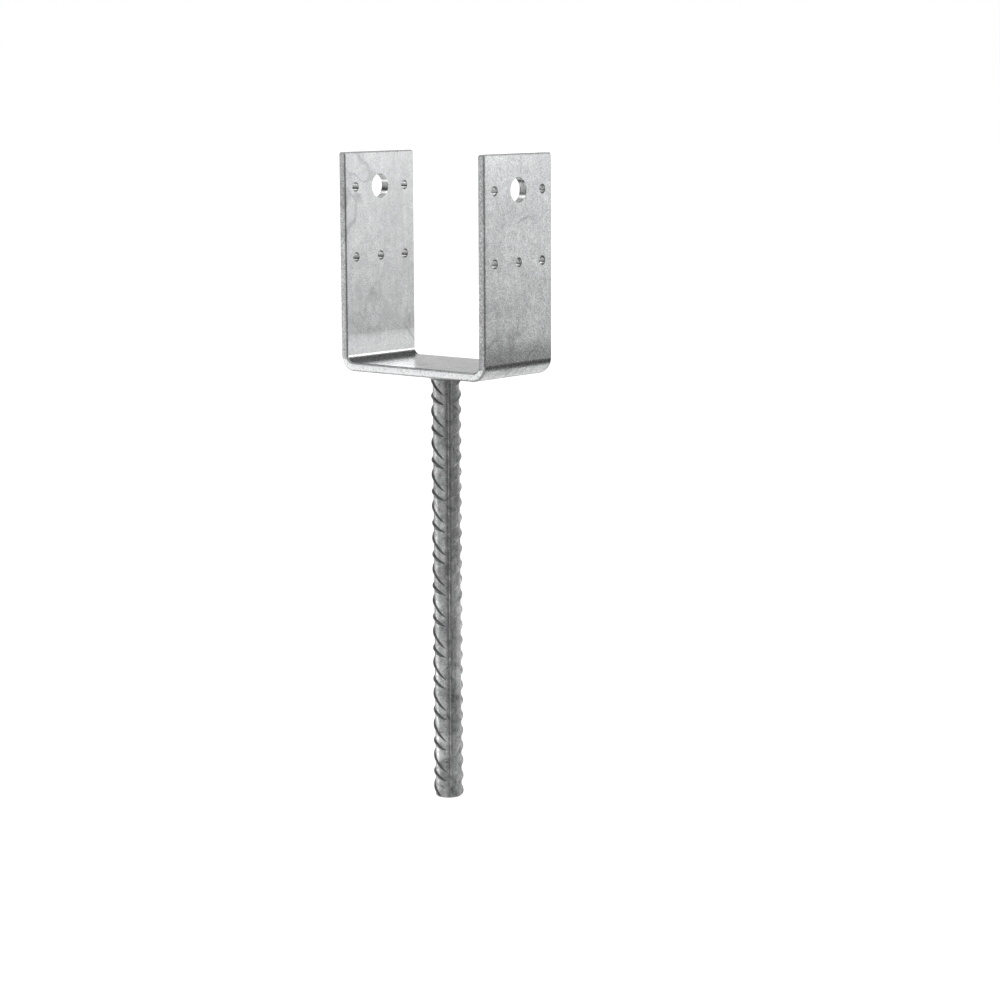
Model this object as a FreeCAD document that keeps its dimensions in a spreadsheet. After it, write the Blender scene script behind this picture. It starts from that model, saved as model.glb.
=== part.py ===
"""Timber post base: a folded U bracket welded on a ribbed bar that is cast into a footing.

Millimetres. The origin is the middle of the seat's top face, where the post stands.
X runs across the legs, Y along the width of the flat bar, and Z up.
"""
import FreeCAD, Part
import os
import Sketcher

Vector = FreeCAD.Vector

# ---------------------------------------------------------------- driving sizes
SIZES = [
    # flat bar that the bracket is folded from
    ("flat_width", 60, "width of the flat bar, along Y"),
    ("flat_thickness", 5, "thickness of the flat bar"),
    ("post_gap", 98, "clear width between the legs, across the post"),
    ("leg_rise", 120, "height of the legs above the seat"),
    ("fold_radius", 4, "inner radius of the two folds"),
    ("fold_back_radius", 9.5, "outer radius of the two folds, where the bar thins a little"),
    ("corner_radius", 1.5, "rounding of the legs' top corners"),
    ("edge_bevel", 1.0, "bevel along the edges of the flat bar"),
    # holes in each leg
    ("bolt_hole_bore", 14, "diameter of the hole for the through bolt"),
    ("bolt_hole_drop", 20, "bolt hole's axis below the top of the leg"),
    ("screw_hole_bore", 5.5, "diameter of the screw holes"),
    ("screw_hole_spread", 42, "distance across each row of screw holes"),
    ("screw_row_spacing", 40, "distance between the two rows of screw holes"),
    # anchor bar
    ("anchor_length", 250, "length of the bar below the seat"),
    ("core_radius", 7.65, "radius of the bar between its ribs"),
    ("anchor_turn", -37.5, "turn of the bar about its own axis, degrees"),
    ("end_bevel", 0.4, "bevel on the bar's cut end"),
    # the two ribs that run along the bar
    ("seam_height", 1.0, "height of a lengthwise rib"),
    ("seam_foot", 2.6, "width of a lengthwise rib at its foot"),
    ("seam_crest", 1.1, "width of a lengthwise rib at its crest"),
    # crescent ribs, rolled in two rows between the lengthwise ribs
    ("rib_height", 1.1, "height of a crescent at the middle of its row"),
    ("rib_flank", 1.8, "width of each flank of a crescent, measured along the bar"),
    ("rib_bury", 0.6, "depth of a crescent's root below the surface of the core"),
    ("rib_reach", 79, "angle from the middle of its row at which a crescent runs out, degrees"),
    ("rib_end", 88, "angle from the middle of its row at which a buried tip ends, degrees"),
    ("steep_lean", 37.5, "lean of the steep ribs of the paired row, degrees"),
    ("slack_lean", 21, "lean of the slack ribs of the paired row, degrees"),
    ("plain_lean", 30, "lean of the ribs of the plain row, degrees"),
    ("paired_pitch", 18.46, "distance from one steep rib to the next, with a slack one midway"),
    ("plain_pitch", 9.02, "distance from one rib to the next in the plain row"),
    ("first_steep_rib", 5.1, "first steep rib below the bar's top, at the middle of its row"),
    ("first_plain_rib", 2.7, "first plain rib below the bar's top, at the middle of its row"),
    # weld
    ("weld_leg", 4.8, "leg of the fillet weld round the bar's top"),
    ("weld_crown", 0.5, "bulge of the weld's face out of a flat fillet"),
]

# Worked out from the sizes above. A crescent rib keeps one section all along, and turns about
# an axis of its own, set off from the bar's axis towards the middle of the row, so that it
# stands proud there and sinks into the core at both tips.
WORKED_OUT = [
    ("rib_tip", "=core_radius + rib_height"),
    ("rib_offset", "=(rib_tip^2 - core_radius^2) / (2 * (rib_tip - core_radius * cos(rib_reach)))"),
    ("rib_orbit", "=rib_tip - rib_offset"),
    ("rib_sweep", "=rib_end + asin(rib_offset * sin(rib_end) / rib_orbit) / 1 deg"),
    ("rib_root", "=rib_height + rib_bury"),
    ("rib_splay", "=rib_flank * rib_root / rib_height"),
    ("trim_radius", "=rib_tip + 2"),
]

os.makedirs("parts", exist_ok=True)
doc = FreeCAD.newDocument("timber_post_base")
sheet = doc.addObject("Spreadsheet::Sheet", "Sizes")
for row, (alias, content, *meaning) in enumerate(SIZES + WORKED_OUT, start=1):
    sheet.set("A%d" % row, alias)
    sheet.set("B%d" % row, str(content))
    sheet.set("C%d" % row, "".join(meaning))
    sheet.setAlias("B%d" % row, alias)
doc.recompute()


# ---------------------------------------------------------------- helpers
def value(expression):
    """What an expression on the sheet comes to, as a plain number."""
    return float(sheet.evalExpression(expression))


def origin_of(body, role):
    """One of a body's own origin planes or axes, such as XY_Plane."""
    return next(item for item in body.Origin.OriginFeatures if item.Role == role)


def new_sketch(body, name, plane):
    sketch = body.newObject("Sketcher::SketchObject", name)
    sketch.AttachmentSupport = [(origin_of(body, plane), "")]
    sketch.MapMode = "FlatFace"
    return sketch


def bind(sketch, kind, *places, to):
    """Add a sized constraint to a sketch and tie it to an expression on the sheet."""
    index = sketch.addConstraint(Sketcher.Constraint(kind, *places, value(to)))
    sketch.setExpression("Constraints[%d]" % index, to)


def pin(sketch, edge, end, across, up):
    """Hold one point of a sketch by its two distances from the sketch's origin."""
    for kind, axis, expression in (("DistanceX", -2, across), ("DistanceY", -1, up)):
        if expression == "0":
            sketch.addConstraint(Sketcher.Constraint("PointOnObject", edge, end, axis))
        else:
            bind(sketch, kind, -1, 1, edge, end, to=expression)


def draw_outline(sketch, corners):
    """Draw a closed outline of straight edges through corners given as pairs of expressions."""
    spots = [Vector(value(across), value(up), 0) for across, up in corners]
    for index, spot in enumerate(spots):
        following = spots[(index + 1) % len(spots)]
        sketch.addGeometry(Part.LineSegment(spot, following), False)
    for index, (across, up) in enumerate(corners):
        before = (index - 1) % len(corners)
        sketch.addConstraint(Sketcher.Constraint("Coincident", before, 2, index, 1))
        pin(sketch, index, 1, across, up)


def draw_circle(sketch, radius, across="0", up="0"):
    centre = Vector(value(across), value(up), 0)
    index = sketch.addGeometry(Part.Circle(centre, Vector(0, 0, 1), value(radius)), False)
    bind(sketch, "Radius", index, to=radius)
    pin(sketch, index, 3, across, up)


def add_feature(body, kind, name, expressions=None, **settings):
    """Add a feature to a body, with plain settings and with sizes tied to the sheet."""
    feature = body.newObject("PartDesign::" + kind, name)
    for key, setting in settings.items():
        setattr(feature, key, setting)
    for key, expression in (expressions or {}).items():
        feature.setExpression(key, expression)
    body.Tip = feature
    doc.recompute()
    return feature


def dress_edges(body, kind, name, base, wanted, **sizes):
    """Fillet or chamfer those edges of a feature that the test picks out."""
    edges = ["Edge%d" % number for number, edge in enumerate(base.Shape.Edges, start=1)
             if wanted(edge)]
    return add_feature(body, kind, name, sizes, Base=(base, edges))


def lies_at(edge, axis, place):
    """Whether an edge lies wholly in the plane that cuts an axis at the given place."""
    box = edge.BoundBox
    low, high = getattr(box, axis + "Min"), getattr(box, axis + "Max")
    return abs(low - place) < 1e-3 and abs(high - place) < 1e-3


# ---------------------------------------------------------------- bracket
def make_bracket():
    """One flat bar folded into a U, then punched with the same holes through both legs."""
    body = doc.addObject("PartDesign::Body", "post_bracket")
    body.Label = "post_bracket"

    gap, outside = "Sizes.post_gap / 2", "Sizes.post_gap / 2 + Sizes.flat_thickness"
    rise, under = "Sizes.leg_rise", "-Sizes.flat_thickness"
    profile = new_sketch(body, "FoldedProfile", "XZ_Plane")
    draw_outline(profile, [
        ("-(%s)" % outside, under), (outside, under), (outside, rise), (gap, rise),
        (gap, "0"), ("-(%s)" % gap, "0"), ("-(%s)" % gap, rise), ("-(%s)" % outside, rise)])
    blank = add_feature(body, "Pad", "FoldedBar", {"Length": "Sizes.flat_width"},
                        Profile=profile, Midplane=True)

    half_gap, seat_under = value(gap), value(under)
    inner_folds = dress_edges(
        body, "Fillet", "InnerFolds", blank,
        lambda edge: lies_at(edge, "Z", 0) and
        (lies_at(edge, "X", half_gap) or lies_at(edge, "X", -half_gap)),
        Radius="Sizes.fold_radius")
    half_outside = value(outside)
    outer_folds = dress_edges(
        body, "Fillet", "OuterFolds", inner_folds,
        lambda edge: lies_at(edge, "Z", seat_under) and
        (lies_at(edge, "X", half_outside) or lies_at(edge, "X", -half_outside)),
        Radius="Sizes.fold_back_radius")

    half_width, top = value("Sizes.flat_width / 2"), value(rise)
    corners = dress_edges(
        body, "Fillet", "TopCorners", outer_folds,
        lambda edge: lies_at(edge, "Z", top) and
        (lies_at(edge, "Y", half_width) or lies_at(edge, "Y", -half_width)),
        Radius="Sizes.corner_radius")
    corner_start = top - value("Sizes.corner_radius")
    bevelled = dress_edges(
        body, "Chamfer", "BevelledEdges", corners,
        lambda edge: lies_at(edge, "Y", half_width) or lies_at(edge, "Y", -half_width) or
        (edge.BoundBox.ZMin > corner_start - 1e-3 and edge.BoundBox.XLength < 1e-3),
        Size="Sizes.edge_bevel")

    bolt_row = "Sizes.leg_rise - Sizes.bolt_hole_drop"
    low_row = bolt_row + " - Sizes.screw_row_spacing"
    beside = "Sizes.screw_hole_spread / 2"
    bolt_sketch = new_sketch(body, "BoltHoleSketch", "YZ_Plane")
    draw_circle(bolt_sketch, "Sizes.bolt_hole_bore / 2", "0", bolt_row)
    screw_sketch = new_sketch(body, "ScrewHoleSketch", "YZ_Plane")
    for across, up in ((beside, bolt_row), ("-" + beside, bolt_row),
                       (beside, low_row), ("0", low_row), ("-" + beside, low_row)):
        draw_circle(screw_sketch, "Sizes.screw_hole_bore / 2", across, up)
    last = bevelled
    for name, sketch in (("BoltHoles", bolt_sketch), ("ScrewHoles", screw_sketch)):
        punched = add_feature(body, "Pocket", name, Profile=sketch, Midplane=True,
                              Type="ThroughAll")
        assert punched.Shape.Volume < last.Shape.Volume - 1, name + " removed nothing"
        last = punched
    return body


# ---------------------------------------------------------------- anchor bar
def add_crescents(body, family, lean, pitch, first, side, left_handed):
    """One crescent rib swept along its helix, then repeated down the bar.

    side is 1 for the row centred on the body's +Y and -1 for the row on its -Y. Both rows
    sink towards the lengthwise rib on +X.
    """
    sketch = new_sketch(body, family + "Section", "XZ_Plane")
    sketch.AttachmentOffset = FreeCAD.Placement(Vector(0, 0, 0), FreeCAD.Rotation(Vector(0, 1, 0), 1))
    climb = "Sizes.rib_orbit * tan(%s)" % lean
    half_climb = "%s * Sizes.rib_sweep * pi / 180" % climb
    sketch.setExpression("AttachmentOffset.Base.y", "-(%s) - %s" % (first, half_climb))
    sketch.setExpression("AttachmentOffset.Base.z", "%d * Sizes.rib_offset" % -side)
    sketch.setExpression("AttachmentOffset.Rotation.Angle", "%d * (90 - Sizes.rib_sweep)" % side)

    root = "Sizes.rib_orbit - Sizes.rib_root"
    draw_outline(sketch, [(root, "-Sizes.rib_splay"), ("Sizes.rib_orbit", "0"),
                          (root, "Sizes.rib_splay")])
    rib = add_feature(body, "AdditiveHelix", family + "Rib",
                      {"Pitch": "2 * pi * " + climb, "Height": "2 * " + half_climb},
                      Profile=sketch, ReferenceAxis=(sketch, ["V_Axis"]),
                      Mode="pitch-height-angle", LeftHanded=left_handed)
    return add_feature(body, "LinearPattern", family + "Row",
                       {"Offset": pitch,
                        "Occurrences": "floor((Sizes.anchor_length - (%s)) / %s) + 1" % (first, pitch)},
                       Originals=[rib], Direction=(origin_of(body, "Z_Axis"), [""]),
                       Reversed=True, Mode="Spacing")


def make_anchor_bar():
    """A length of ribbed bar, modelled upright below its own top, with its seams on X."""
    body = doc.addObject("PartDesign::Body", "anchor_bar")
    body.Label = "anchor_bar"
    body.setExpression("Placement.Base.z", "-Sizes.flat_thickness")
    body.Placement.Rotation = FreeCAD.Rotation(Vector(0, 0, 1), 1)
    body.setExpression("Placement.Rotation.Angle", "Sizes.anchor_turn")

    core_sketch = new_sketch(body, "CoreSection", "XY_Plane")
    draw_circle(core_sketch, "Sizes.core_radius")
    add_feature(body, "Pad", "Core", {"Length": "Sizes.anchor_length"},
                Profile=core_sketch, Reversed=True)

    seam_sketch = new_sketch(body, "SeamSection", "XY_Plane")
    inside, outside = "Sizes.core_radius - Sizes.rib_bury", "Sizes.core_radius + Sizes.seam_height"
    foot, crest = "Sizes.seam_foot / 2", "Sizes.seam_crest / 2"
    draw_outline(seam_sketch, [(inside, "-" + foot), (outside, "-" + crest),
                               (outside, crest), (inside, foot)])
    seam = add_feature(body, "Pad", "Seam", {"Length": "Sizes.anchor_length"},
                       Profile=seam_sketch, Reversed=True)
    add_feature(body, "PolarPattern", "Seams", Originals=[seam], Occurrences=2, Angle=360,
                Axis=(origin_of(body, "Z_Axis"), [""]))

    paired, steep_start = "Sizes.paired_pitch", "Sizes.first_steep_rib"
    add_crescents(body, "Steep", "Sizes.steep_lean", paired, steep_start, -1, True)
    add_crescents(body, "Slack", "Sizes.slack_lean", paired, steep_start + " + %s / 2" % paired,
                  -1, True)
    ribbed = add_crescents(body, "Plain", "Sizes.plain_lean", "Sizes.plain_pitch",
                           "Sizes.first_plain_rib", 1, False)

    # The ribs run past both ends of the core, as they would on rolled bar before it is cut.
    end, bevelled = "-Sizes.anchor_length", "Sizes.core_radius - Sizes.end_bevel"
    beyond = end + " - Sizes.paired_pitch"
    cut_sketch = new_sketch(body, "CutEndSection", "XZ_Plane")
    draw_outline(cut_sketch, [
        ("0", end), (bevelled, end),
        ("Sizes.trim_radius", "%s + Sizes.trim_radius - (%s)" % (end, bevelled)),
        ("Sizes.trim_radius", beyond), ("0", beyond)])
    cut_end = add_feature(body, "Groove", "CutEnd", Profile=cut_sketch, Angle=360,
                          ReferenceAxis=(cut_sketch, ["V_Axis"]))
    top_sketch = new_sketch(body, "TopSection", "XY_Plane")
    draw_circle(top_sketch, "Sizes.trim_radius")
    squared = add_feature(body, "Pocket", "SquaredTop", {"Length": "Sizes.paired_pitch"},
                          Profile=top_sketch, Reversed=True)
    assert cut_end.Shape.Volume < ribbed.Shape.Volume - 1, "the bar's end is not cut"
    assert squared.Shape.Volume < cut_end.Shape.Volume - 1, "the bar's top is not cut"
    return body


# ---------------------------------------------------------------- weld
def make_weld(anchor_bar):
    """The ring of weld between bar and seat, with the ribs that it covers cut out of it."""
    ring = doc.addObject("PartDesign::Body", "WeldRing")
    ring.setExpression("Placement.Base.z", "-Sizes.flat_thickness")
    section = new_sketch(ring, "WeldSection", "XZ_Plane")
    inside, wall = "Sizes.core_radius - Sizes.rib_bury", "Sizes.core_radius"
    toe, leg = "Sizes.core_radius + Sizes.weld_leg", "-Sizes.weld_leg"
    bulge = "Sizes.weld_leg / 2 + Sizes.weld_crown / sqrt(2)"
    draw_outline(section, [(inside, "0"), (inside, leg), (wall, leg),
                           ("%s + %s" % (wall, bulge), "-(%s)" % bulge), (toe, "0")])
    add_feature(ring, "Revolution", "Ring", Profile=section, Angle=360,
                ReferenceAxis=(section, ["V_Axis"]))

    bead = doc.addObject("Part::Cut", "weld_bead")
    bead.Base = ring
    bead.Tool = anchor_bar
    bead.Label = "weld_bead"
    return bead


# ---------------------------------------------------------------- build, check, write
bracket = make_bracket()
anchor = make_anchor_bar()
weld = make_weld(anchor)
doc.recompute()

for item in doc.Objects:
    assert not {"Invalid", "Error"} & set(item.State), item.Label + " failed to build"
for part in (bracket, anchor, weld):
    shape = part.Shape
    assert not shape.isNull() and shape.isValid(), part.Label + " has no sound shape"
    assert len(shape.Solids) == 1, part.Label + " is not one solid"
    shape.exportStep("parts/%s.step" % part.Label)
    print("%-14s %10.1f mm3" % (part.Label, shape.Volume))
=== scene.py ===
# %% [markdown]
# # A galvanised timber post base
# This lesson dresses a steel post base for its portrait. One flat bar is folded into a U for
# the post, and a ribbed bar is welded under it to be cast into a footing. The whole part was
# dipped in molten zinc, so it has one colour and several finishes: smooth and cloudy on the
# flat bar, darker with painted shade in its holes, dull and lumpy on the ribbed bar, and in
# between on the weld.
#
# The solids come from the part's own CAD model and keep their size and place.

# %% Load the solids and keep the size of their box
import math

import bmesh
import bpy
from mathutils import Matrix, Vector


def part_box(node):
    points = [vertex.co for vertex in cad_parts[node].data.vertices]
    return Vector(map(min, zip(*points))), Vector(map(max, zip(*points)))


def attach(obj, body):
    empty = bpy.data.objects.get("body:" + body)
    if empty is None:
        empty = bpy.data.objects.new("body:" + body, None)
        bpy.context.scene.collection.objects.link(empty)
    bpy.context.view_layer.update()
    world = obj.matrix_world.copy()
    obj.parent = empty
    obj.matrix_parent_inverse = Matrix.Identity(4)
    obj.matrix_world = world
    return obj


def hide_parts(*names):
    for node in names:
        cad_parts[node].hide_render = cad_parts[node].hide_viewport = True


MM = 0.001
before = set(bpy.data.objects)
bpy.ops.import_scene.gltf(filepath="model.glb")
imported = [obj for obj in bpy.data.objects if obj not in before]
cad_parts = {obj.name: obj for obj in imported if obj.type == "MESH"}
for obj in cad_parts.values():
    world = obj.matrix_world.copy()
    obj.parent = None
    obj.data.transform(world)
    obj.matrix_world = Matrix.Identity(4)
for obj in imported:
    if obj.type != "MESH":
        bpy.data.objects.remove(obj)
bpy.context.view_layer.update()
bracket_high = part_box("post_bracket")[1]
bar_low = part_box("anchor_bar")[0]
print("solids:", ", ".join(sorted(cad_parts)))

# %% [markdown]
# ## Writing a material as arithmetic
# A finish is a recipe of patterns that are added, scaled and mixed. Node links hide that
# arithmetic, so a small class wraps a socket and lets Python's own signs add the Math nodes.
# Every other node comes from one method, which takes its settings first and its inputs second.

# %% A socket that can be added, subtracted, multiplied and divided
class Wire:
    def __init__(self, recipe, socket):
        self.recipe = recipe
        self.socket = socket

    def __add__(self, other):
        return self.recipe.maths("ADD", self, other)

    def __radd__(self, other):
        return self.recipe.maths("ADD", other, self)

    def __sub__(self, other):
        return self.recipe.maths("SUBTRACT", self, other)

    def __rsub__(self, other):
        return self.recipe.maths("SUBTRACT", other, self)

    def __mul__(self, other):
        return self.recipe.maths("MULTIPLY", self, other)

    def __rmul__(self, other):
        return self.recipe.maths("MULTIPLY", other, self)

    def __truediv__(self, other):
        return self.recipe.maths("DIVIDE", self, other)


# %% The recipe: one node tree, and the method that makes its nodes
class Recipe:
    def __init__(self, tree):
        self.tree = tree
        tree.nodes.clear()

    def node(self, kind, settings=None, inputs=None, outlet=0):
        """Add a node with its settings, its inputs and the outlet that goes on."""
        made = self.tree.nodes.new(kind)
        for key, setting in (settings or {}).items():
            setattr(made, key, setting)
        for key, content in (inputs or {}).items():
            if isinstance(content, Wire):
                self.tree.links.new(content.socket, made.inputs[key])
            else:
                made.inputs[key].default_value = content
        return Wire(self, made.outputs[outlet]) if made.outputs else made

    def maths(self, operation, first, second, clamp=False):
        return self.node("ShaderNodeMath", {"operation": operation, "use_clamp": clamp},
                         {0: first, 1: second})

    def between(self, low, high, amount):
        """Fade from one colour to another."""
        return self.node("ShaderNodeMix", {"data_type": "RGBA"},
                         {"Factor": amount, "A": low, "B": high}, "Result")


# %% [markdown]
# ## Hot-dip zinc
# Zinc shows clouds, patches, soft streaks where it drained, fine specks and thin dark veins. Each
# is a pattern of its own size, measured in millimetres on the part. All patterns read Object
# coordinates, so they stay put in the metal and run unbroken round the folds.
#
# Some of the finish is painted by place rather than by rule, to suit the view of this camera: a
# coarser grain towards the right leg, with painted light on the left leg, paler sheared faces,
# brighter narrow faces low down, a painted dark reflection beside the edges, and the two effects
# below. They are choices of looks and say nothing about how the part is made.

# %% Patterns that every zinc finish shares
def new_material(name):
    material = bpy.data.materials.new(name)
    material.use_nodes = True
    return material


def place_in_mm(recipe, stretch=(1, 1, 1)):
    """The point on the part in millimetres, drawn out along an axis by a stretch."""
    place = recipe.node("ShaderNodeTexCoord", outlet="Object")
    return recipe.node("ShaderNodeMapping", {"vector_type": "POINT"},
                       {"Vector": place, "Scale": [1 / (MM * length) for length in stretch]})


def noise(recipe, place, size, detail=3.0, roughness=0.55, warp=0.0):
    """Soft noise from 0 to 1 whose blotches are about so many millimetres across."""
    return recipe.node("ShaderNodeTexNoise", None,
                       {"Vector": place, "Scale": 1 / size, "Detail": detail,
                        "Roughness": roughness, "Distortion": warp})


# %% The soft start of a fold, and the sizes that the patterns follow
EDGE_LINE = 28.5      # mm from the middle of the flat bar, where the darker line by its edge starts
EDGE_FACE = 0.05      # mm inside the flat bar's narrow faces, beyond which they are sheared
END_FACE = 0.98       # mm below the tops of the legs, above which they are sheared
LOW_EDGE_LEVEL = 2.0      # mm above the seat, below which the narrow faces are brighter
RUN_OUT_TOP = 16.0    # mm above the seat, where the shading of the run-out starts
RUN_OUT_SPAN = 17.0   # mm of height over which it grows
RUN_OUT_RISE = 1.2    # mm of relief that it shades at its foot, on a leg's inner face
OUTER_DROP = 1.28     # the outer face gets 1 less this share of it, so it turns the other way
HALF_WALL = 2.5       # mm, half the thickness of a leg
CORE = 7.72           # mm, just outside the ribbed bar's core
CREST = 8.5           # mm, just inside the crests of its ribs

CLOUD, PATCH, STREAK, SPECK, PORE = 26, 6, 2.4, 1.3, 0.7     # mm across, one blotch of each
DRAIN = 7             # how many times longer than wide a streak is
VEIN_FIELD = 34       # mm across, the areas that hold veins
VEIN_THIN = 22.0      # the higher, the thinner a vein


def run_out(recipe, across, height):
    """Relief in mm just above the folds, for the bump alone: the mesh stays flat there."""
    middle = bracket_high.x / MM - HALF_WALL
    outer = recipe.maths("GREATER_THAN", recipe.maths("ABSOLUTE", across, 0.0), middle)
    near = recipe.maths("MULTIPLY", RUN_OUT_TOP - height, 1 / RUN_OUT_SPAN, clamp=True)
    ease = near * near * (3.0 - near * 2.0)
    return ease * (1.0 - outer * OUTER_DROP) * RUN_OUT_RISE


# %% The zinc finish, with its tones and the strength of each pattern as settings
def zinc(name, dark, light, metal, shine, clouds, mottle, streaks, grain, veins, bumps,
         edge_light=0.0, flank_shade=0.0):
    """A galvanised finish. Strengths are in steps between the dark and the light tone."""
    material = new_material(name)
    recipe = Recipe(material.node_tree)
    place = place_in_mm(recipe)
    drained = place_in_mm(recipe, stretch=(1, 1, DRAIN))

    cloud = noise(recipe, place, CLOUD, detail=3) - 0.5
    patch = noise(recipe, place, PATCH, detail=4, roughness=0.6, warp=0.8) - 0.5
    streak = noise(recipe, drained, STREAK, detail=3) - 0.5
    speck = noise(recipe, place, SPECK, detail=2, roughness=0.8) - 0.5
    pore = noise(recipe, place, PORE, detail=1) - 0.5

    # A vein is the line where a noise crosses its middle, kept only where a second one is high.
    ridge = recipe.maths("ABSOLUTE", noise(recipe, place, CLOUD, detail=2, warp=0.4) - 0.5, 0.0)
    line = recipe.maths("SUBTRACT", 1.0, ridge * VEIN_THIN, clamp=True)
    field = noise(recipe, place, VEIN_FIELD, detail=1)
    here = recipe.maths("MULTIPLY", field - 0.52, 9.0, clamp=True)
    vein = line * here * (1.0 + patch * 3.0)

    # The narrow faces and tops of the flat bar are paler and coarser, and the narrow faces low
    # down by the seat are painted brighter still. The grain grows coarser from the left leg to the
    # right one, and the left leg, where it is finer, gets painted light. A painted dark reflection
    # runs beside each edge.
    across = recipe.node("ShaderNodeSeparateXYZ", None, {"Vector": place}, "X")
    side = recipe.node("ShaderNodeSeparateXYZ", None, {"Vector": place}, "Y")
    height = recipe.node("ShaderNodeSeparateXYZ", None, {"Vector": place}, "Z")
    narrow = recipe.maths("GREATER_THAN", recipe.maths("ABSOLUTE", side, 0.0),
                          bracket_high.y / MM - EDGE_FACE)
    cut = recipe.maths("GREATER_THAN", height, bracket_high.z / MM - END_FACE)
    low = recipe.maths("LESS_THAN", height, LOW_EDGE_LEVEL)
    rim = recipe.maths("MAXIMUM", narrow, cut) * edge_light
    low_edge_lift = narrow * low * edge_light
    coarseness_and_shade = recipe.maths("MULTIPLY", across + 10.0, 0.02, clamp=True) * 0.45 + 0.55 + cloud * 0.9
    dark_edge_reflection = recipe.maths("MULTIPLY", recipe.maths("ABSOLUTE", side, 0.0) - EDGE_LINE, 1.0,
                           clamp=True) * (1.0 - narrow) * edge_light

    # The flanks of the bar's ribs are all that lies at a radius between its core and their
    # crests. They get painted shade in the row that faces the camera and not in the other,
    # so that the ribs stand out.
    radius = recipe.maths("SQRT", across * across + side * side, 0.0)
    above = recipe.maths("MULTIPLY", radius - CORE, 6.0, clamp=True)
    below = recipe.maths("MULTIPLY", CREST - radius, 5.0, clamp=True)
    paired = recipe.maths("SUBTRACT", 0.5, across * 0.075 + side * 0.1, clamp=True)

    tone = (0.5 + cloud * clouds + patch * mottle + streak * streaks
            + (speck * 0.8 + pore * 1.0) * (coarseness_and_shade * grain + rim * 1.0 + low_edge_lift * 2.4)
            - vein * veins - rim * 0.25 + cut * edge_light * 0.5 + low_edge_lift * 0.9 - dark_edge_reflection * 0.45
            - above * below * paired * flank_shade
            # where the grain is finer, towards the left leg, this term adds painted light
            + (1.0 - coarseness_and_shade) * edge_light * 0.2)
    tone = recipe.maths("MAXIMUM", recipe.maths("MINIMUM", tone, 1.3), -0.5)
    depth = recipe.maths("ADD", tone, 0.0, clamp=True)
    colour = recipe.between((*dark, 1), (*light, 1), depth)

    dullness = shine - (depth - 0.5) * 0.16 + speck * 0.15 + rim * 0.15 + cut * edge_light * 0.25
    relief = (patch * 0.7 + streak * 0.3 + (speck * 0.5 + pore * 0.3) * coarseness_and_shade - vein * 0.3
              + run_out(recipe, across, height) * (edge_light / bumps))
    bump = recipe.node("ShaderNodeBump", None,
                       {"Strength": 1.0, "Distance": bumps * MM, "Height": relief}, "Normal")
    surface = recipe.node("ShaderNodeBsdfPrincipled", None,
                          {"Base Color": colour, "Metallic": metal, "Roughness": dullness,
                           "Normal": bump}, "BSDF")
    recipe.node("ShaderNodeOutputMaterial", None, {"Surface": surface})
    return material


# %% [markdown]
# The flat bar is pale, cloudy and fairly bright, and the walls of its holes are glossier and
# painted darker, as shade in these recesses. The ribbed bar is darker and more matt, as zinc often
# is on such steel. The weld is between the two.

# %% Four finishes
flat_zinc = zinc("zinc on flat bar", dark=(0.29, 0.294, 0.298), light=(0.78, 0.785, 0.79),
                 metal=0.85, shine=0.26, clouds=0.5, mottle=0.5, streaks=0.3, grain=1.3,
                 veins=0.3, bumps=0.05, edge_light=1.0)
hole_zinc_and_shade = zinc("zinc and painted shade in the holes", dark=(0.05, 0.051, 0.052), light=(0.6, 0.603, 0.606),
                 metal=0.9, shine=0.2, clouds=0.3, mottle=0.8, streaks=0.0, grain=1.2,
                 veins=0.0, bumps=0.12)
bar_zinc = zinc("zinc on ribbed bar", dark=(0.1, 0.102, 0.104), light=(0.57, 0.573, 0.577),
                metal=0.75, shine=0.4, clouds=0.6, mottle=1.5, streaks=0.1, grain=1.2,
                veins=0.2, bumps=0.2, flank_shade=0.9)
weld_zinc = zinc("zinc on weld", dark=(0.2, 0.202, 0.205), light=(0.6, 0.603, 0.607),
                 metal=0.6, shine=0.4, clouds=0.3, mottle=0.8, streaks=0.0, grain=0.6,
                 veins=0.0, bumps=0.1)


# %% [markdown]
# ## Bracket and bar
# The solids arrive as loose triangles, and each would show its own flat shade. A copy is welded
# together point to point and shaded smoothly across every edge that is blunter than a crease.
# Weighting the normals by area keeps the flats flat, so only the bevels and folds turn.

# %% A fair copy of a solid
FLAT = 0.5        # triangles that turn less than this, in degrees, are one flat face


def fair_copy(node, finish, crease):
    """Stand a smoothly shaded copy in the place of a CAD node."""
    shape = bmesh.new()
    shape.from_mesh(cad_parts[node].data)
    loose = len(shape.verts)
    bmesh.ops.remove_doubles(shape, verts=shape.verts, dist=0.001 * MM)
    bmesh.ops.dissolve_limit(shape, angle_limit=math.radians(FLAT), verts=shape.verts,
                             edges=shape.edges, use_dissolve_boundaries=False)
    for face in shape.faces:
        face.smooth = True
    for edge in shape.edges:
        edge.smooth = edge.calc_face_angle() < math.radians(crease)
    mesh = bpy.data.meshes.new(node + "_zinc")
    shape.to_mesh(mesh)
    shape.free()
    if "custom_normal" in mesh.attributes:
        mesh.attributes.remove(mesh.attributes["custom_normal"])
    mesh.materials.append(finish)
    piece = bpy.data.objects.new(node + "_zinc", mesh)
    bpy.context.scene.collection.objects.link(piece)
    weights = piece.modifiers.new("flats stay flat", "WEIGHTED_NORMAL")
    weights.mode = "FACE_AREA"
    weights.keep_sharp = True
    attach(piece, "root")
    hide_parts(node)
    print("%s: %d loose corners welded to %d points" % (node, loose, len(mesh.vertices)))
    return piece


bracket = fair_copy("post_bracket", flat_zinc, crease=50)

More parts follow.
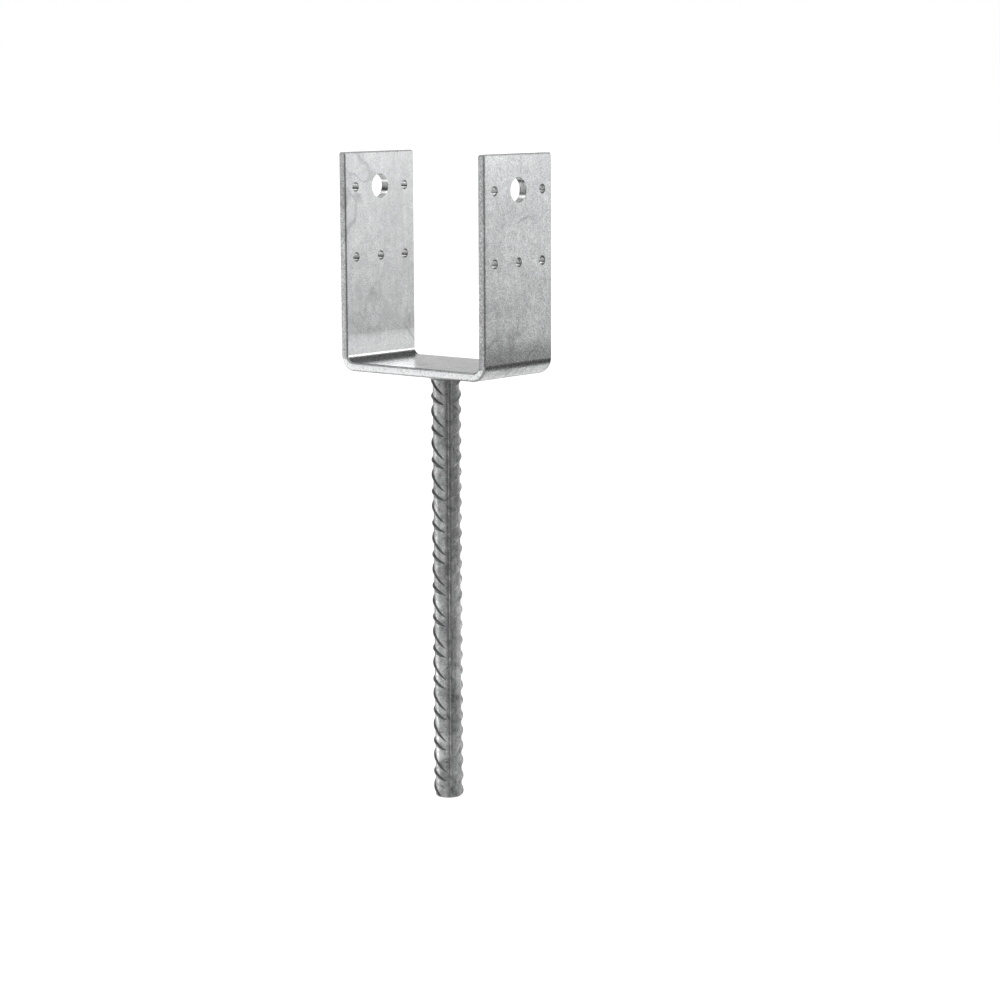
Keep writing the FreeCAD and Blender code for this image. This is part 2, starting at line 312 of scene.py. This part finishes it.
# The holes' walls don't face along X, and lie inside the flat bar's edges, above its folds and
# below its tops.
HOLE_FIELD = 0.8      # the share of the half width that the holes keep to
TOP_MARGIN = 2 * MM   # the holes stay this far below the legs' tops
bracket.data.materials.append(hole_zinc_and_shade)
walls = [face for face in bracket.data.polygons
         if abs(face.normal.x) < 0.05 and face.center.z > bracket_high.z / 3
         and abs(face.center.y) < HOLE_FIELD * bracket_high.y
         and face.center.z < bracket_high.z - TOP_MARGIN]
for face in walls:
    face.material_index = 1
print("faces in the holes:", len(walls))
fair_copy("anchor_bar", bar_zinc, crease=24)


# %% [markdown]
# ## Weld
# The bar is held by one fillet weld all round its top. A torch lays it in small overlapping
# scales, each a little later than the last, so its face is rippled. That is a shape with a rule:
# an arc from seat to bar, carried round a circle, with a saw-toothed rise that repeats with the
# angle. Geometry Nodes bend a flat grid into it. One side of the grid runs round the circle and
# the other down the arc, and both of the grid's long sides meet in the hidden corner, so that
# the ring is closed.

# %% A node tree for the rippled ring
WELD_INPUTS = (("Bar Radius", 0.00765), ("Leg", 0.0044), ("Hollow", 0.004),
               ("Ripple Height", 0.00025), ("Ripples", 30.0), ("Seat Level", -0.005))
ROUND_STEPS = 240
ARC_STEPS = 14
BURIED = 0.0004       # m, how far the closed corner of the ring lies inside bar and seat
SHOWN_LEG = 0.9       # share of the solid weld's leg, so that less of it shows past the seat
RIPPLE_LEAN = 2.4     # 4 times the share of a ripple by which it shifts half way down the arc


def weld_tree(finish):
    tree = bpy.data.node_groups.new("rippled weld", "GeometryNodeTree")
    for name, preset in WELD_INPUTS:
        socket = tree.interface.new_socket(name, in_out="INPUT", socket_type="NodeSocketFloat")
        socket.default_value = preset
    tree.interface.new_socket("Weld", in_out="OUTPUT", socket_type="NodeSocketGeometry")
    recipe = Recipe(tree)
    entry = tree.nodes.new("NodeGroupInput")
    size = {name: Wire(recipe, entry.outputs[name]) for name, _ in WELD_INPUTS}

    sheet = recipe.node("GeometryNodeMeshGrid", None,
                        {"Size X": 1.0, "Size Y": 1.0, "Vertices X": ROUND_STEPS + 1,
                         "Vertices Y": ARC_STEPS + 1}, "Mesh")
    spot = recipe.node("GeometryNodeInputPosition")
    turn = (recipe.node("ShaderNodeSeparateXYZ", None, {"Vector": spot}, "X") + 0.5) * math.tau
    down = recipe.node("ShaderNodeSeparateXYZ", None, {"Vector": spot}, "Y") + 0.5

    # An arc about a centre that lies inside bar and seat, from level with the seat's underside
    # to the bar's wall. Its first and last rows are drawn in to the hidden corner.
    bulge = recipe.maths("SQRT", (size["Leg"] + size["Hollow"]) * (size["Leg"] + size["Hollow"])
                         + size["Hollow"] * size["Hollow"], 0.0)
    first = recipe.maths("ARCTAN2", size["Hollow"], size["Leg"] + size["Hollow"])
    along = recipe.maths("MULTIPLY", (down - 1 / ARC_STEPS) / (1 - 2 / ARC_STEPS), 1.0, clamp=True)
    angle = first + along * (math.pi / 2 - first * 2.0)
    phase = turn * size["Ripples"] / math.tau + along * (1.0 - along) * RIPPLE_LEAN
    saw = recipe.maths("FRACT", phase, 0.0)
    wave = saw * (1.0 - saw * saw) * 2.6
    ring = recipe.node("ShaderNodeCombineXYZ", None,
                       {"X": recipe.maths("COSINE", turn, 0.0),
                        "Y": recipe.maths("SINE", turn, 0.0), "Z": along * 0.5})
    lumps = recipe.node("ShaderNodeTexNoise", None, {"Vector": ring, "Scale": 4.0, "Detail": 2.0})
    edge = recipe.maths("SINE", along * math.pi, 0.0)
    reach = bulge + size["Ripple Height"] * edge * (wave + (lumps - 0.5) * 3.0)
    hidden = recipe.maths("GREATER_THAN", recipe.maths("ABSOLUTE", down - 0.5, 0.0),
                          0.5 - 0.5 / ARC_STEPS)
    out = ((reach * recipe.maths("COSINE", angle, 0.0) - size["Hollow"]) * (1.0 - hidden)
           - hidden * BURIED)
    depth = ((reach * recipe.maths("SINE", angle, 0.0) - size["Hollow"]) * (1.0 - hidden)
             - hidden * BURIED)
    radius = size["Bar Radius"] + out
    place = recipe.node("ShaderNodeCombineXYZ", None,
                        {"X": radius * recipe.maths("COSINE", turn, 0.0),
                         "Y": radius * recipe.maths("SINE", turn, 0.0),
                         "Z": size["Seat Level"] - depth})
    bent = recipe.node("GeometryNodeSetPosition", None, {"Geometry": sheet, "Position": place})
    closed = recipe.node("GeometryNodeMergeByDistance", None,
                         {"Geometry": bent, "Distance": 0.00001})
    smooth = recipe.node("GeometryNodeSetShadeSmooth", None, {"Geometry": closed})
    real = recipe.node("GeometryNodeRealizeInstances", None, {"Geometry": smooth})
    dressed = recipe.node("GeometryNodeSetMaterial", None, {"Geometry": real, "Material": finish})
    leave = tree.nodes.new("NodeGroupOutput")
    tree.links.new(dressed.socket, leave.inputs["Weld"])
    return tree


# %% Grow the weld, and keep it as a plain mesh
def bake_nodes(name, tree, sizes):
    """Run a node tree once and keep what it made as the mesh of a new object."""
    blank = bpy.data.objects.new(name + "_blank", bpy.data.meshes.new(name + "_blank"))
    bpy.context.scene.collection.objects.link(blank)
    grow = blank.modifiers.new("grow", "NODES")
    grow.node_group = tree
    for item in tree.interface.items_tree:
        if item.in_out == "INPUT" and item.name in sizes:
            grow[item.identifier] = sizes[item.name]
    grown = blank.evaluated_get(bpy.context.evaluated_depsgraph_get())
    mesh = bpy.data.meshes.new_from_object(grown)
    bpy.data.objects.remove(blank)
    piece = bpy.data.objects.new(name, mesh)
    bpy.context.scene.collection.objects.link(piece)
    return piece


weld_low, weld_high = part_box("weld_bead")
bead = bake_nodes("weld_bead_zinc", weld_tree(weld_zinc),
                  {"Seat Level": weld_high.z, "Leg": SHOWN_LEG * (weld_high.z - weld_low.z)})
solid = bmesh.new()
solid.from_mesh(bead.data)
bmesh.ops.recalc_face_normals(solid, faces=solid.faces)
open_edges = sum(1 for edge in solid.edges if not edge.is_manifold)
print("weld: %d faces, %d open edges, volume %.0f mm3"
      % (len(solid.faces), open_edges, solid.calc_volume(signed=True) / MM ** 3))
solid.to_mesh(bead.data)
solid.free()
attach(bead, "root")
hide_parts("weld_bead")


# %% [markdown]
# ## Studio
# The part is shot on white, held up with nothing under it. A wide floor lies well below the
# bar's end, and floor and sky show white to the camera and in reflections. Metal is mostly a
# mirror of the room, so the room is arranged for it: two soft lamps on the left and one on the
# right, dark cards overhead, behind the camera and low at the back and right, and a grey board
# behind the seat. They give the round bar its dark middle and the folds their dark lines.
#
# Lamps, cards and board are hidden from the camera. They are set for this one view: from
# higher up or from the back right, the flat faces mirror the dark cards and look much darker.

# %% Floor and sky
FLOOR_DROP = 0.5      # m from the bar's end down to the floor
FLOOR_REACH = 30.0    # m from the middle of the floor to its edges
SKY_GLOW = 0.45       # strength of the sky as a light
PAPER_LIFT = 0.85     # strength of the floor's own white, where it is seen directly
PAPER_TONE = (0.8, 0.8, 0.8, 1)
FELT_TONE = (0.06, 0.06, 0.06, 1)
BOARD_TONE = (0.68, 0.68, 0.68, 1)


def seen_directly(recipe):
    """1 for rays of the camera, in reflections and through glass, and 0 for all other light."""
    path = recipe.tree.nodes.new("ShaderNodeLightPath")
    camera_ray, glossy_ray, glass_ray = [
        Wire(recipe, path.outputs["Is %s Ray" % kind])
        for kind in ("Camera", "Glossy", "Transmission")]
    return recipe.maths("ADD", camera_ray + glossy_ray, glass_ray, clamp=True)


world = bpy.data.worlds.new("white studio")
bpy.context.scene.world = world
world.use_nodes = True
sky = Recipe(world.node_tree)
glow = sky.node("ShaderNodeBackground", None, {"Color": (1, 1, 1, 1), "Strength": SKY_GLOW})
white = sky.node("ShaderNodeBackground", None, {"Color": (1, 1, 1, 1), "Strength": 1.0})
backdrop = sky.node("ShaderNodeMixShader", None, {0: seen_directly(sky), 1: glow, 2: white})
sky.node("ShaderNodeOutputWorld", None, {"Surface": backdrop})


def flat_sheet(name, centre, across, along, material):
    """A rectangle about a centre, from its two half sides."""
    corners = [centre + x * across + y * along for x, y in ((-1, -1), (1, -1), (1, 1), (-1, 1))]
    mesh = bpy.data.meshes.new(name)
    mesh.from_pydata(corners, [], [(0, 1, 2, 3)])
    mesh.materials.append(material)
    sheet = bpy.data.objects.new(name, mesh)
    bpy.context.scene.collection.objects.link(sheet)
    return sheet


paper = new_material("white paper")
page = Recipe(paper.node_tree)
matt = page.node("ShaderNodeBsdfDiffuse", None, {"Color": PAPER_TONE})
lift = page.node("ShaderNodeEmission", None,
                 {"Color": (1, 1, 1, 1), "Strength": seen_directly(page) * PAPER_LIFT})
lifted = page.node("ShaderNodeAddShader", None, {0: matt, 1: lift})
page.node("ShaderNodeOutputMaterial", None, {"Surface": lifted})
flat_sheet("floor", Vector((0, 0, bar_low.z - FLOOR_DROP)), Vector((FLOOR_REACH, 0, 0)),
           Vector((0, FLOOR_REACH, 0)), paper)


# %% Lamps and cards
def towards(turn, rise, distance):
    """A place round the seat, from its turn from +X, its rise and its distance."""
    turn, rise = math.radians(turn), math.radians(rise)
    return distance * Vector((math.cos(rise) * math.cos(turn),
                              math.cos(rise) * math.sin(turn), math.sin(rise)))


def softbox(name, place, width, height, watts, aim=Vector((0, 0, 0))):
    """A soft lamp that faces a point."""
    lamp = bpy.data.lights.new(name, "AREA")
    lamp.shape = "RECTANGLE"
    lamp.size = width
    lamp.size_y = height
    lamp.energy = watts
    stand = bpy.data.objects.new(name, lamp)
    bpy.context.scene.collection.objects.link(stand)
    stand.location = place
    stand.rotation_euler = (place - aim).to_track_quat("Z", "Y").to_euler()
    stand.visible_camera = False


felt = new_material("dark felt")
weave = Recipe(felt.node_tree)
matt_felt = weave.node("ShaderNodeBsdfDiffuse", None, {"Color": FELT_TONE})
weave.node("ShaderNodeOutputMaterial", None, {"Surface": matt_felt})

grey = new_material("grey board")
tint = Recipe(grey.node_tree)
dim = tint.node("ShaderNodeEmission", None, {"Color": BOARD_TONE, "Strength": 1.0})
tint.node("ShaderNodeOutputMaterial", None, {"Surface": dim})


def card(name, place, half_width, half_height, aim=Vector((0, 0, 0)), cloth=felt):
    """A card that faces a point. It is hidden from the camera."""
    turned = (place - aim).to_track_quat("Z", "Y")
    sheet = flat_sheet(name, place, turned @ Vector((half_width, 0, 0)),
                       turned @ Vector((0, half_height, 0)), cloth)
    sheet.visible_camera = False


softbox("left lamp", towards(-156, -20, 1.1), width=0.4, height=0.5, watts=2.1)
softbox("high left lamp", towards(-155, 50, 1.0), width=0.35, height=0.35, watts=0.8)
softbox("right lamp", towards(50, 16, 0.9), width=0.5, height=0.16, watts=0.85)
card("back ceiling card", towards(92, 42, 1.0), half_width=0.6, half_height=0.24)
card("left ceiling card", towards(-158, 24, 1.2), half_width=0.5, half_height=0.28)
card("camera card", towards(-35, 0, 1.75), half_width=0.8, half_height=0.8)
LOW_CARD = Vector((0.67, 0.71, -0.17))
card("low card", LOW_CARD, half_width=0.5, half_height=0.5,
     aim=Vector((LOW_CARD.x, LOW_CARD.y, 0)))
card("back low card", towards(143, -17, 1.0), half_width=0.42, half_height=0.15)
card("back board", towards(130, 10, 1.4), half_width=0.6, half_height=0.22, cloth=grey)
card("right card", towards(14, -14, 1.0), half_width=0.2, half_height=0.25)

# %% Camera
CAMERA_TURN = 40.547      # degrees from the front, towards the right
CAMERA_REACH = 1.49199    # m from the part's upright axis
CAMERA_HEIGHT = 0.161299  # m above the seat
LOOK_ASIDE = -1.181       # degrees that it looks past the axis
LOOK_DOWN = 9.171         # degrees below level
ROLL = -0.229             # degrees about its own line of sight
CAMERA_LENS = 94.12       # mm, for a sensor 36 mm wide

lens = bpy.data.cameras.new("camera")
lens.sensor_width = 36
lens.lens = CAMERA_LENS
lens.clip_end = 200
camera = bpy.data.objects.new("camera", lens)
bpy.context.scene.collection.objects.link(camera)
turn = math.radians(CAMERA_TURN)
where = Matrix.Translation((CAMERA_REACH * math.sin(turn), -CAMERA_REACH * math.cos(turn),
                            CAMERA_HEIGHT))
aim = (Matrix.Rotation(math.radians(CAMERA_TURN + LOOK_ASIDE), 4, "Z")
       @ Matrix.Rotation(math.radians(90 - LOOK_DOWN), 4, "X")
       @ Matrix.Rotation(math.radians(ROLL), 4, "Z"))
camera.matrix_world = where @ aim
bpy.context.scene.camera = camera
bpy.context.scene.view_settings.view_transform = "Standard"
